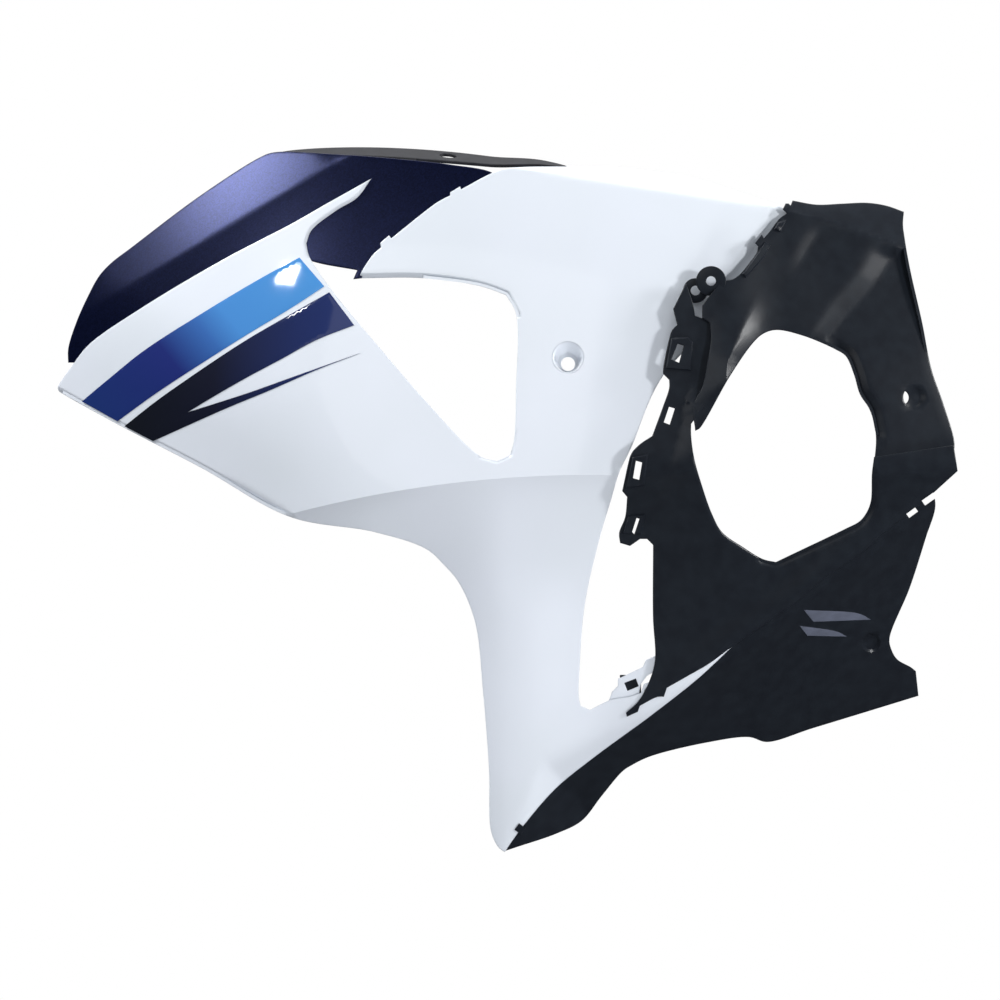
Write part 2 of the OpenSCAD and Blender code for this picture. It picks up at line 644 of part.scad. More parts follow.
module blue_stripe() {
    color("#2a5bb0") decal(blue_outline, depth_cowl());
}

module navy_stripe() {
    color("#141a3a") decal(navy_outline, depth_cowl());
}

module belly_darts() {
    color("#5c6170") for (shape = darts_outline) decal(shape, depth_under());
}

module nose_screws() {
    color("#8d9096") screws(nose_screws_at, depth_cowl(), depth_nose());
}

module rim_screws() {
    color("#8d9096") screws(rim_screws_at, depth_upper(), depth_cowl());
}

module seam_screws() {
    color("#8d9096") screws(seam_screws_at, depth_mid(), depth_upper());
}

module spike_screws() {
    color("#8d9096") screws(spike_screws_at, depth_mid(), depth_cowl());
}

module belly_screws() {
    color("#8d9096") screws(belly_screws_at, depth_cowl(), depth_under());
}

module keel_screws() {
    color("#8d9096") screws(keel_screws_at, depth_mid(), depth_under());
}

module strip_screws() {
    color("#8d9096") screws(strip_screws_at, depth_nose(), depth_strip_tab());
}

main_cowl();
nose_panel();
top_strip();
upper_rear_panel();
mid_panel();
under_cowl();
blue_stripe();
navy_stripe();
belly_darts();
nose_screws();
rim_screws();
seam_screws();
spike_screws();
belly_screws();
keel_screws();
strip_screws();
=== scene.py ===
"""Looks of the left-hand side fairing of a sport motorcycle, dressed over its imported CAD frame.

Each moulding is built again as a fine skin from the same outline and the same depth formula as its
CAD solid, with its rounded edges, turned-in lips, folds and raised pads. Sizes are in millimetres
until the last step, which turns them to metres. X is rearward, Y inboard and Z up.
"""
import math

import bpy
import numpy as np
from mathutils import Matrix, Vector
from mathutils.geometry import delaunay_2d_cdt


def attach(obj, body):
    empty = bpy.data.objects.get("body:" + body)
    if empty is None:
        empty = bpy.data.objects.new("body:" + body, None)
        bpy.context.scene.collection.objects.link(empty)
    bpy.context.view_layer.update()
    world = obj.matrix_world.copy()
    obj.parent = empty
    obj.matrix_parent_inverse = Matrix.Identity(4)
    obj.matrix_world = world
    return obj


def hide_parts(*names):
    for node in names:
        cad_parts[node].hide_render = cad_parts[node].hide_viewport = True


MM = 0.001

# The moulded sheet, as in the part's source
WALL = 3.2
LAP_GAP = 0.3
LAYER = WALL + LAP_GAP
FILM = 0.4
CUP_MOUTH, CUP_FLOOR = 15.5, 9.8
CUP_AT, CUP_MOUTH_UP = (0, 0), 6.5
MAIN_BORE = 7.0
EAR = 15.0
EAR_THICK = 4.0
EAR_BORE = 4.8
REAR_MOUTH, REAR_HOLE = 13.0, 7.5
DIMPLE = 10.0
BOSS, SCREW, WASHER = 4.0, 2.0, 6.5
LIP_REACH = 11.0
PAD_RISE = 2.5

UPPER_EAR_AT = (143, 83)
MID_EAR_AT = (127.5, 73.5)
REAR_MOUTH_AT = (347, -33)
REAR_HOLE_AT = (333.5, -33.5)
DIMPLE_AT = (304, -279)
NOSE_SCREWS_AT = [(-385, 74), (-307, 117), (-150, 138), (-100, 170)]
RIM_SCREWS_AT = [(196, 113), (213, 134)]
SEAM_SCREWS_AT = [(330, -98), (368, -92)]
SPIKE_SCREWS_AT = [(81, -328), (122, -303)]
BELLY_SCREWS_AT = [(1, -403), (49, -366)]
KEEL_SCREWS_AT = [(228, -228), (287, -184)]
STRIP_SCREWS_AT = [(-250, 188), (-160, 184)]

# The skins: mesh spacing, and the radius that the mould leaves on every edge
SPACING = 4.0
EDGE_STEP = 3.0
EDGE_ROUND = 1.0


# Shape of the side, the same formulas as in the part's source

def soft_step(t):
    c = np.clip(t, 0, 1)
    return c * c * (3 - 2 * c)


def ramp(t, w):
    """Zero below, t above, with a round bend of half width w between."""
    return np.where(t < -w, 0, np.where(t > w, t, (t + w) ** 2 / (4 * w)))


def past(x, z, a, b):
    """Distance to the left of the line from a to b."""
    dx, dz = b[0] - a[0], b[1] - a[1]
    return ((x - a[0]) * -dz + (z - a[1]) * dx) / math.hypot(dx, dz)


def crease_z(x):
    return -111 - 39 * (np.maximum(0, 20 - x) / 298) ** 2


def ridge_z(x):
    return -353 + 0.60 * (x - 59) + 0.000435 * (x - 59) ** 2


def side_y(x, z):
    above = z - crease_z(x)
    up, down = np.maximum(0, above), np.maximum(0, -above)
    undercut = 0.75 + 0.9 * soft_step((-60 - x) / 130)
    leg = 9 * np.exp(-((x + 42) / 45) ** 2) * soft_step((-170 - z) / 90)
    ridge = 11 * np.exp(-((z - ridge_z(x)) / 32) ** 2) * soft_step((x - 20) / 60)
    below_ridge = np.minimum(0.8 * (ridge_z(x) - z), past(x, z, (7, -337), (-63, -489)))
    return (-33 + (x - 20) ** 2 / 1800 + 0.10 * up + up * up / 1800
            + undercut * down / (1 + down / 60) + down * down / 1400
            - leg - ridge + 0.9 * ramp(below_ridge, 8)
            + 0.35 * ramp(85 - past(x, z, (-515, -25), (-278, -153)), 45)
            * soft_step((-150 - x) / 180))


def cowl_y(x, z):
    return side_y(x, z) + 1.5 * ramp(-past(x, z, (195, 160), (-38, 196)), 3)


def nose_y(x, z):
    top_facet = np.minimum(past(x, z, (-460, 62), (-243, 189)), z - 200)
    return side_y(x, z) + LAYER + 1.1 * ramp(top_facet, 4)


def strip_tab_y(x, z):
    return nose_y(x, z) + LAYER


def nose_skin_y(x, z):
    """The nose with its crisp crease, above which a broad facet leans inboard to the top edge."""
    above = np.maximum(0, past(x, z, (-454, 71), (-243, 195)))
    ending = soft_step((x + 258) / 60)
    above = above * (1 - ending) + np.maximum(0, np.minimum(above, z - 200)) * ending
    lean = 0.26 + 0.84 * soft_step((x + 256) / 80)
    cad_lean = 1.1 * ramp(np.minimum(past(x, z, (-460, 62), (-243, 189)), z - 200), 4)
    return nose_y(x, z) - cad_lean + lean * ramp(above, 1.5)


def lift(x, z):
    return LAYER + 12 * (1 - soft_step((x - 150) / 70)) * soft_step((z + 260) / 140)


def rear_share(x):
    return soft_step((x - 200) / 80)


def upper_y(x, z):
    brow = past(x, z, (224, 152), (330, 118))
    return side_y(x, z) - lift(x, z) - LAYER * (1 - rear_share(x)) + 0.6 * ramp(brow, 3)


def mid_y(x, z):
    return side_y(x, z) - lift(x, z) - LAYER * rear_share(x)


def under_y(x, z):
    return (side_y(x, z) + LAYER * (1 - soft_step((x - 165) / 45))
            - LAYER * rear_share(x))


# Outlines as seen from the side, [x, z]; a third number rounds that corner

COWL_LOW = [
    [-515, -25, 5], [-452, -60], [-367, -104], [-278, -153], [-194, -168], [-142, -185],
    [-124, -201], [-109, -219], [-93, -258], [-85, -328], [-79, -407]]
COWL_BELLY = [
    [-77, -468], [-69, -485], [-63, -489], [-58, -481], [-41, -458], [-12, -425], [26, -394],
    [83, -352], [131, -314], [164, -283], [158, -272], [132, -287], [87, -316], [76, -320],
    [73, -329], [60, -333], [43, -336], [22, -346], [13, -342], [11, -334]]
COWL_GAP = [[12, -299], [17, -240], [32, -173], [43, -136], [51, -109], [63, -84]]
COWL_TOP = [
    [95, -12], [185, 78], [208, 112], [229, 147, 4], [217, 156], [187, 167], [120, 188],
    [80, 194], [40, 198], [4, 198], [-62, 196], [-77, 191], [-107, 175], [-108, 178],
    [-118, 172], [-118, 169], [-131, 162], [-177, 126], [-179, 129], [-184, 125], [-188, 121],
    [-187, 117], [-194, 111], [-207, 92], [-209, 86]]
COWL_VENT = [
    [-145, 86], [-88, 78], [-62, 69], [-52, 50], [-52, -24], [-54, -76], [-58, -91], [-71, -97],
    [-88, -92], [-145, -34], [-188, 16], [-217, 50], [-240, 79]]
SPIKE_LOW = [[-259, 108], [-262, 121], [-257, 134], [-232, 154], [-211, 167], [-197, 186]]
ARM_TOP = [[-240, 162], [-275, 142], [-346, 105], [-429, 56], [-481, 20], [-498, -1]]
COWL = COWL_LOW + COWL_BELLY + COWL_GAP + COWL_TOP + COWL_VENT + SPIKE_LOW + ARM_TOP
BRACKET = [[38, -342], [42, -334], [44, -328], [50, -322], [50, -315], [75, -303], [78, -296],
           [87, -292], [98, -302], [79, -312], [73, -320], [70, -336], [56, -342]]
BRACKET_HOLE = [[56.4, -319.1], [67.9, -314.7], [70.8, -322.3], [59.6, -327]]
NOSE_FRONT = [
    [-502, 16], [-494, 42], [-482, 69], [-471, 89], [-459, 102], [-438, 118], [-370, 169]]
NOSE = NOSE_FRONT + [
    [-309, 208], [-295, 213], [-234, 211], [-171, 206], [-117, 200], [-76, 192], [-62, 180],
    [-121, 147], [-166, 112], [-182, 97], [-196, 92], [-206, 92], [-206, 86], [-215, 85],
    [-211, 94], [-256, 103], [-285, 116], [-350, 89], [-433, 39], [-487, 2], [-502, 2]]
UPPER_REAR = [[336, 139], [342, 100], [355, 41], [364, -5], [376, -40], [387, -80]]
UPPER_OPENING = [
    [308, -71], [302, -46], [292, -30], [286, -10], [278, 8], [269, 14], [236, 28], [208, 34],
    [195, 30], [185, 21], [162, -12]]
UPPER = [
    [215, 155], [218, 161], [221, 161], [223, 159], [225, 164], [249, 160], [274, 161],
    [300, 162], [320, 159], [337, 153]] + UPPER_REAR + [[384, -97], [305, -109]] + UPPER_OPENING + [
    [131, -65], [127, -67], [125, -41], [134, -23], [139, 0], [143, 26], [142, 41], [134, 46],
    [134, 58], [143, 70], [156, 83], [165, 85], [173, 91], [182, 102], [189, 112], [190, 118],
    [187, 121], [194, 130], [196, 126], [202, 133], [212, 146], [219, 151]]
RIM_PADS = [
    [[174, 90], [182, 101], [190, 112], [197, 123], [203, 119], [197, 108], [178, 86]],
    [[210, 142], [219, 145], [213, 132], [206, 135]]]
MID_GAP = [[85, -181], [85, -253]]
MID_OPENING = [
    [303, -137], [299, -148], [292, -157], [277, -165], [231, -187], [208, -198], [195, -195],
    [175, -183], [154, -168], [144, -150], [134, -122], [126, -94]]
MID = [
    [118, 81], [105, 55], [109, 39], [104, 34], [101, 25], [95, -5], [95, -10], [101, -16],
    [101, -24], [95, -42], [84, -72], [72, -80], [64, -88], [62, -92], [54, -127], [59, -133],
    [57, -153], [51, -169], [52, -179], [62, -182], [72, -175], [79, -175]] + MID_GAP + [
    [87, -296], [81, -318], [70, -338], [58, -349], [59, -353], [70, -348], [72, -342],
    [90, -333], [96, -333], [99, -324], [122, -311], [141, -300], [164, -283], [196, -261],
    [233, -235], [260, -212], [292, -191],
    [321, -165], [339, -153], [358, -136], [390, -107], [386, -81], [306, -93],
    [304, -109]] + MID_OPENING + [
    [123, -71], [123, -60], [134, -45], [144, -23], [149, 0], [150, 26], [140, 44], [127, 48],
    [125, 60]]
SLOTS = [
    [[109.7, 20.1], [115.5, 18.4], [110.9, 1.2], [103.4, 4.6]],
    [[100.9, -42.9], [106.6, -44.6], [101.5, -60.7], [95.7, -58.4]],
    [[67.8, -96.8], [73.9, -98.6], [71, -115.8], [64.9, -114.1]],
    [[68.5, -154], [71.3, -154.8], [66.2, -170.1], [64.1, -168]]]
SLOT_PADS = [
    [[103, 26], [120, 27], [125, 22], [123, -7], [97, -5]],
    [[64, -93], [80, -90], [76, -122], [57, -125]],
    [[60, -151], [77, -150], [74, -171], [54, -170]]]
REAR_SLOTS = [
    [[338.6, -150], [347.4, -143.5], [350.4, -147.4], [341.6, -153.9]],
    [[354, -136.7], [365.5, -128.6], [369, -133.4], [357.5, -141.5]]]
UNDER_LOW = [
    [-12, -471], [14, -458], [34, -433], [55, -408], [64, -402], [83, -393], [141, -379],
    [182, -374], [200, -379], [247, -365], [353, -333]]
UNDER = [[-63, -488], [-51, -484]] + UNDER_LOW + [
    [350, -308], [345, -304], [331, -296], [325, -286], [323, -275], [343, -224], [359, -173],
    [368, -142], [364, -122], [329, -139], [282, -177], [224, -220], [160, -266], [122, -314],
    [73, -348], [17, -381], [-23, -414], [-50, -445], [-62, -468]]
BACKING = [[52, -311], [73, -311], [74, -366], [60, -366], [52, -345]]
HOOK = [[-53.5, -466.5], [-46.9, -471.4], [-42.2, -465], [-48.8, -460.1]]
HOOK_FOOT = [[-48.7, -470.1], [-46.9, -471.4], [-42.2, -465], [-44, -463.7]]
BLUE = [
    [-488, -37], [-452, -57], [-413, -29], [-367, 1], [-321, 30], [-276, 57], [-244, 78],
    [-269, 107], [-310, 85], [-367, 51], [-425, 14], [-459, -13]]
NAVY = [
    [-445, -62], [-413, -37], [-367, -5], [-321, 25], [-276, 51], [-239, 72], [-214, 39],
    [-252, 24], [-287, 5], [-321, -13], [-356, -33], [-381, -48], [-321, -29], [-276, -13],
    [-208, 11], [-252, -6], [-298, -26], [-344, -45], [-416, -77]]
DARTS = [
    [[236, -246], [292, -250], [304, -256], [246, -258]],
    [[232, -262], [270, -268], [280, -273], [240, -272]]]


# Plane geometry on arrays of points

def chunks(count, size=3000):
    return (slice(i, min(i + size, count)) for i in range(0, count, size))


def segments(path, closed=True):
    path = np.asarray(path, float)
    ends = np.roll(path, -1, axis=0)
    return (path, ends) if closed else (path[:-1], ends[:-1])


def distance_to(points, path, closed=True):
    """Distance of each point to a path, the side it is on (left is 1) and its share along."""
    a, b = segments(path, closed)
    d = b - a
    length = np.maximum(np.hypot(d[:, 0], d[:, 1]), 1e-9)
    start = np.concatenate([[0], np.cumsum(length)[:-1]])
    away, side, share = (np.empty(len(points)) for _ in range(3))
    for part in chunks(len(points)):
        p = points[part][:, None, :] - a[None]
        t = np.clip((p * d).sum(2) / length ** 2, 0, 1)
        gap = p - t[..., None] * d
        far = np.hypot(gap[..., 0], gap[..., 1])
        best = far.argmin(1)
        rows = np.arange(len(best))
        away[part] = far[rows, best]
        cross = d[best, 0] * p[rows, best, 1] - d[best, 1] * p[rows, best, 0]
        side[part] = np.where(cross >= 0, 1, -1)
        share[part] = (start[best] + t[rows, best] * length[best]) / length.sum()
    return away, side, share


def beside(points, path):
    """Distance to the left of an open path (negative on its right), and the share along it."""
    away, side, share = distance_to(points, np.asarray(path, float), False)
    return away * side, share


def inside(points, loop):
    a, b = segments(loop)
    held = np.empty(len(points), bool)
    for part in chunks(len(points)):
        p = points[part][:, None, :]
        spans = (a[:, 1] > p[..., 1]) != (b[:, 1] > p[..., 1])
        with np.errstate(divide="ignore", invalid="ignore"):
            cut = a[:, 0] + (p[..., 1] - a[:, 1]) * (b[:, 0] - a[:, 0]) / (b[:, 1] - a[:, 1])
        held[part] = (spans & (p[..., 0] < cut)).sum(1) % 2 == 1
    return held


def rounded(loop):
    """Swaps each corner that carries a radius for a short arc."""
    out = []
    for i, corner in enumerate(loop):
        if len(corner) < 3:
            out.append(corner)
            continue
        a, b, c = (np.array(loop[k % len(loop)][:2], float) for k in (i - 1, i, i + 1))
        u, v = (a - b) / np.linalg.norm(a - b), (c - b) / np.linalg.norm(c - b)
        half = math.acos(u @ v) / 2
        centre = b + (u + v) / np.linalg.norm(u + v) * corner[2] / math.sin(half)
        p, q = b + u * corner[2] / math.tan(half), b + v * corner[2] / math.tan(half)
        for t in np.linspace(0, 1, 5):
            w = p + (q - p) * t - centre
            out.append(list(centre + w / np.linalg.norm(w) * corner[2]))
    return out


def flowing(path, closed=True, sharpest=34, step=EDGE_STEP):
    """A smooth curve through the points, which keeps every corner that turns more than sharpest."""
    pts = np.asarray(path, float)
    n = len(pts)
    ahead, back = np.roll(pts, -1, axis=0) - pts, pts - np.roll(pts, 1, axis=0)
    turn = np.degrees(np.abs(np.angle(
        (ahead[:, 0] + 1j * ahead[:, 1]) / (back[:, 0] + 1j * back[:, 1]))))
    corner = turn > sharpest
    if not closed:
        corner[0] = corner[-1] = True
    out = []
    for i in range(n if closed else n - 1):
        p1, p2 = pts[i], pts[(i + 1) % n]
        p0 = p1 - (p2 - p1) if corner[i] else pts[i - 1]
        p3 = p2 + (p2 - p1) if corner[(i + 1) % n] else pts[(i + 2) % n]
        k0, k1, k2 = (max(np.linalg.norm(v), 1e-6) ** 0.5 for v in (p1 - p0, p2 - p1, p3 - p2))
        m1 = p2 - p1 + k1 * ((p1 - p0) / k0 - (p2 - p0) / (k0 + k1))
        m2 = p2 - p1 + k1 * ((p3 - p2) / k2 - (p3 - p1) / (k1 + k2))
        count = max(1, round(np.linalg.norm(p2 - p1) / step))
        for t in np.arange(count) / count:
            out.append((2 * t ** 3 - 3 * t ** 2 + 1) * p1 + (t ** 3 - 2 * t ** 2 + t) * m1
                       + (3 * t ** 2 - 2 * t ** 3) * p2 + (t ** 3 - t ** 2) * m2)
    if not closed:
        out.append(pts[-1])
    return np.array(out)


def circle(at, radius, count=40):
    turn = np.arange(count) * 2 * math.pi / count
    return np.stack([at[0] + radius * np.cos(turn), at[1] + radius * np.sin(turn)], 1)


def inset(loop, by):
    """The loop moved to its left by a small distance."""
    along = np.roll(loop, -1, axis=0) - np.roll(loop, 1, axis=0)
    along /= np.maximum(np.hypot(along[:, 0], along[:, 1]), 1e-9)[:, None]
    return loop + by * np.stack([-along[:, 1], along[:, 0]], 1)


def area(loop):
    a, b = segments(loop)
    return (a[:, 0] * b[:, 1] - b[:, 0] * a[:, 1]).sum() / 2


# Building a moulded sheet

def triangulate(outline, holes, lines, rings, spacing):
    """Flat triangles of a shape: its edges, rings just inside them, fold lines and a field between."""
    loops = [outline if area(outline) > 0 else outline[::-1]]
    loops += [hole if area(hole) < 0 else hole[::-1] for hole in holes]
    points, edges = [], []

    def add(path, closed, kept=None):
        first = len(points)
        points.extend(map(tuple, path))
        count = len(path)
        for i in range(count if closed else count - 1):
            j = (i + 1) % count
            if kept is None or (kept[i] and kept[j]):
                edges.append((first + i, first + j))

    for loop in loops:
        add(loop, True)
    walls = np.concatenate([np.stack(segments(loop), 1) for loop in loops])

    def clear_of_walls(field, room):
        away = np.full(len(field), np.inf)
        for loop in loops:
            away = np.minimum(away, distance_to(field, loop)[0])
        return away >= room

    for by in rings:
        for loop in loops:
            ring = inset(loop, by)
            kept = clear_of_walls(ring, by * 0.93)
            add(ring, True, kept)
    for line in lines:
        add(line, False)
    low, high = walls.reshape(-1, 2).min(0), walls.reshape(-1, 2).max(0)
    rise = spacing * math.sqrt(3) / 2
    field = np.array([[x + (row % 2) * spacing / 2, low[1] + row * rise]
                      for row in range(int((high[1] - low[1]) / rise) + 1)
                      for x in np.arange(low[0], high[0], spacing)])
    field = field[inside(field, loops[0])]
    field = field[clear_of_walls(field, (rings[-1] if rings else 0) + spacing * 0.45)]
    for line in lines:
        field = field[distance_to(field, line, False)[0] > spacing * 0.45]
    points.extend(map(tuple, field))
    flat, _, faces, _, _, _ = delaunay_2d_cdt([Vector(p) for p in points], edges, [], 0, 1e-4, False)
    flat = np.array([tuple(p) for p in flat])
    faces = np.array([f for f in faces if len(f) == 3])
    middles = flat[faces].mean(1)
    kept = inside(middles, loops[0])
    for loop in loops[1:]:
        kept &= ~inside(middles, loop)
    faces = faces[kept]
    used, faces = np.unique(faces, return_inverse=True)
    return flat[used], faces.reshape(-1, 3), loops


def mesh_object(name, points, faces, material, sharp=38):
    mesh = bpy.data.meshes.new(name)
    mesh.from_pydata((np.asarray(points) * MM).tolist(), [], [list(f) for f in faces])
    mesh.materials.append(material)
    mesh.validate()
    mesh.polygons.foreach_set("use_smooth", [True] * len(mesh.polygons))
    mesh.set_sharp_from_angle(angle=math.radians(sharp))
    mesh.update()
    piece = bpy.data.objects.new(name, mesh)
    bpy.context.scene.collection.objects.link(piece)
    return piece


def sheet_mesh(outline, place, holes=(), lines=(), lips=(), spacing=SPACING, edge=EDGE_ROUND,
               wall=WALL):
    """Points and faces of a moulded sheet.

    place(u, v, t) gives the spot of a flat point on the outer face (t is 0) or t mm behind it.
    A lip is (path, width, slope): the sheet turns in there, that steeply, over that width.
    """
    rings = [edge * 0.15, edge * 0.5, edge] + sorted({w for _, width, _ in lips
                                                      for w in (width - 0.7, width + 0.7)})
    flat, faces, loops = triangulate(outline, holes, lines, rings, spacing)
    away = np.full(len(flat), np.inf)
    for loop in loops:
        away = np.minimum(away, distance_to(flat, loop)[0])
    turned = edge - np.sqrt(np.maximum(0, edge ** 2 - np.maximum(0, edge - away) ** 2))
    for path, width, slope in lips:
        turned = turned + slope * ramp(width - distance_to(flat, path, False)[0], 0.7)
    u, v = flat[:, 0], flat[:, 1]
    points = np.concatenate([place(u, v, turned), place(u, v, wall + np.maximum(turned - edge, 0))])
    count = len(flat)
    sides = {}
    for a, b, c in faces:
        for pair in ((a, b), (b, c), (c, a)):
            sides[pair] = True
    rim = [pair for pair in sides if (pair[1], pair[0]) not in sides]
    solid = [tuple(f) for f in faces] + [(c + count, b + count, a + count) for a, b, c in faces]
    solid += [(b, a, a + count, b + count) for a, b in rim]
    return points, solid


def side_place(depth, folds=None):
    """Puts a flat point on a side panel, with its folds and pads if it has any."""
    def place(x, z, behind):
        y = depth(x, z) + behind
        if folds is not None:
            y = y + folds(np.stack([x, z], 1))
        return np.stack([x, y, z], 1)
    return place


def ribbon(path, depth, inset_by=0.3, thick=WALL - 0.4):
    """A turned-in edge behind a panel, on the left of its path, with a rounded inner rim."""
    path = flowing(path, False)
    along = np.gradient(path, axis=0)
    across = np.stack([-along[:, 1], along[:, 0]], 1) / np.hypot(along[:, 0], along[:, 1])[:, None]
    section = [(0, WALL * 0.5), (0, LIP_REACH - 0.8), (0.8, LIP_REACH), (thick - 0.8, LIP_REACH),
               (thick, LIP_REACH - 0.8), (thick, WALL * 0.5)]
    points = []
    for by, deep in section:
        spots = path + across * (inset_by + by)
        points.append(np.stack([spots[:, 0], depth(spots[:, 0], spots[:, 1]) + deep, spots[:, 1]], 1))
    n, m = len(path), len(section)
    faces = [(k * n + i, (k + 1) % m * n + i, (k + 1) % m * n + i + 1, k * n + i + 1)
             for k in range(m) for i in range(n - 1)]
    faces += [tuple(k * n for k in reversed(range(m))), tuple(k * n + n - 1 for k in range(m))]
    return np.concatenate(points), faces


def raised(points, pads, height=PAD_RISE, wall=1.4):
    """Outward step of flat-topped pads with drafted walls."""
    total = np.zeros(len(points))
    for pad in pads:
        pad = np.asarray(pad, float)
        away = distance_to(points, pad)[0]
        total += np.where(inside(points, pad), height * soft_step(away / wall), 0)
    return -total


def pad_lines(pads, wall=1.4):
    """The foot and the top edge of each pad, for the mesh to follow."""
    lines = []
    for pad in pads:
        loop = flowing(pad, sharpest=10)
        loop = loop if area(loop) > 0 else loop[::-1]
        for ring in (loop, inset(loop, wall)):
            lines.append(np.vstack([ring, ring[:1]]))
    return lines


def ring_walls(at, rings, count=48):
    """A turned wall of rings round a way in: (radius, depth, centre offset up) from mouth to bore."""
    points, faces = [], []
    for radius, depth, up in rings:
        spots = circle((at[0], at[1] + up), radius, count)
        y = depth(spots[:, 0], spots[:, 1]) if callable(depth) else np.full(count, float(depth))
        points.append(np.stack([spots[:, 0], y, spots[:, 1]], 1))
    for k in range(len(rings) - 1):
        for i in range(count):
            a, b = k * count + i, k * count + (i + 1) % count
            faces.append((a, a + count, b + count, b))
    return np.concatenate(points), faces


def merged(parts):
    points, faces, first = [], [], 0
    for spots, polygons in parts:
        points.append(spots)
        faces += [tuple(k + first for k in f) for f in polygons]
        first += len(spots)
    return np.concatenate(points), faces


def tube(at, outer, inner, start, end, floor=None):
    """A boss: a tube from the panel inward, closed at start + floor if floor is given."""
    rings = [(outer, start, 0), (outer, end, 0), (inner, end, 0)]
    rings += [(inner, start + floor, 0), (0.01, start + floor, 0)] if floor else [(inner, start, 0)]
    return ring_walls(at, rings, 24)


def deepest(at, radius, depth):
    ring = circle(at, radius, 8)
    return float(depth(ring[:, 0], ring[:, 1]).max())


def bosses(places, outer, inner):
    """Screw bosses of the outer panel, which reach through the inner panel."""
    return [tube(at, BOSS, SCREW + LAP_GAP / 2, deepest(at, BOSS, outer) + WALL * 0.4,
                 deepest(at, WASHER, inner) + WALL + LAP_GAP, 1.5) for at in places]


def bolt_cup(at, mouth, mouth_up, floor_r, bore, floor_y, depth):
    """A round recess for a bolt: rounded mouth, drawn-in wall, flat floor with a bore, and its back."""
    return ring_walls(at, [
        (mouth, depth, mouth_up),
        (mouth - 0.4, lambda x, z: depth(x, z) + 0.3, mouth_up),
        (mouth - 0.9, lambda x, z: depth(x, z) + 1.2, mouth_up * 0.95),
        (floor_r + 0.8, floor_y - 1.2, mouth_up * 0.35),
        (floor_r + 0.2, floor_y - 0.3, mouth_up * 0.32),
        (floor_r - 0.8, floor_y, mouth_up * 0.3),
        (bore + 0.5, floor_y, 0),
        (bore, floor_y + 0.5, 0),
        (bore, floor_y + WALL, 0),
        (floor_r + 1, floor_y + WALL, mouth_up * 0.3),
        (mouth + 1.5, lambda x, z: np.minimum(depth(x, z) + WALL - 0.2, floor_y + WALL), mouth_up)])


def dish(points, at, radius, deep, wall):
    """Inward step of a shallow round dish with a soft wall."""
    away = np.hypot(points[:, 0] - at[0], points[:, 1] - at[1])
    return deep * soft_step((radius - away) / wall)


def dish_lines(at, *radii):
    return [np.vstack([ring, ring[:1]]) for ring in (circle(at, r) for r in radii)]


def lens(at, radius, hole_at, hole):
    """The part of a round hole that shows inside a round recess."""
    turn = np.radians(np.arange(0, 360, 6))
    edge = [(hole_at[0] + hole * math.cos(a), hole_at[1] + hole * math.sin(a)) for a in turn - math.pi]
    edge = [p for p in edge if math.dist(p, at) < radius]
    rim = [(at[0] + radius * math.cos(a), at[1] + radius * math.sin(a)) for a in turn]
    return np.array(edge + [p for p in rim if math.dist(p, hole_at) < hole])


# Folds of the skins: steps outward (below zero) or inward of points on each panel

UPPER_CREST = [[254, 17], [279.1, 49.4], [307.2, 80.3], [330, 116]]
UPPER_RIB = [[218, 76], [236, 107], [257, 140]]
BROW = [[224, 152], [277, 136], [330, 118.4]]
WING_CREST = [[158, -20], [160, 4], [180, 49], [194, 78]]
WEDGE = [[117, -52], [107, -88], [98, -110], [85, -140]]


def soft_back(away, width):
    """One at the crest, then straight down over the width with a soft foot."""
    return ramp(width - away, width * 0.3) / width


def upper_folds(points):
    along, share = beside(points, UPPER_CREST)
    wide = 15 + 9 * share
    crest = np.where(along > 0, soft_back(along, wide), 1 - soft_step(-along / 130))
    rib, reach = beside(points, UPPER_RIB)
    rib = np.where(rib > 0, soft_back(rib, 12), 1 - soft_step(-rib / 60)) * soft_step(reach / 0.6)
    rib = rib * (1 - soft_step((points[:, 1] - 128) / 16))
    wing, up = beside(points, WING_CREST)
    wing = np.where(wing > 0, soft_back(wing, 30), soft_back(-wing, 17)) * soft_step((1 - up) / 0.8)
    below = np.maximum(0, -beside(points, BROW)[0])
    bead = np.exp(-(beside(points, BROW)[0] / 1.3) ** 2)
    crest = crest * soft_step(below / 14) * soft_step((points[:, 1] + 20) / 50)
    return (7.5 * crest + 3 * rib - 10 * wing - 0.7 * bead + raised(points, RIM_PADS)
            + dish(points, REAR_MOUTH_AT, REAR_MOUTH, 4.5, 8))


def mid_folds(points):
    away, _ = beside(points, WEDGE)
    fade = soft_step((points[:, 1] + 165) / 90) * soft_step((-20 - points[:, 1]) / 25)
    wedge = np.where(away > 0, 6.5 * (1 - np.exp(-away / 16)), 0) * fade
    fall = crease_z(points[:, 0]) - points[:, 1]
    soft_shoulder = 0.65 * (ramp(fall, 26) - np.maximum(0, fall))
    return soft_shoulder - wedge + raised(points, SLOT_PADS)


def under_folds(points):
    return dish(points, DIMPLE_AT, DIMPLE, 4, 3)


RIM_LINE = [[163, 93], [179, 116], [193, 138], [198, 150], [200, 160]]


def rim_folds(points):
    """The step along the rear rim of the painted body, where the black panel laps over it."""
    away, _ = beside(points, RIM_LINE)
    return np.where(away < 0, 2.0 * soft_step(-away / 5), 0) * soft_step((points[:, 0] - 150) / 12)


# Materials

def linear(hex_colour):
    values = [int(hex_colour[i:i + 2], 16) / 255 for i in (1, 3, 5)]
    return [v / 12.92 if v <= 0.04045 else ((v + 0.055) / 1.055) ** 2.4 for v in values] + [1]


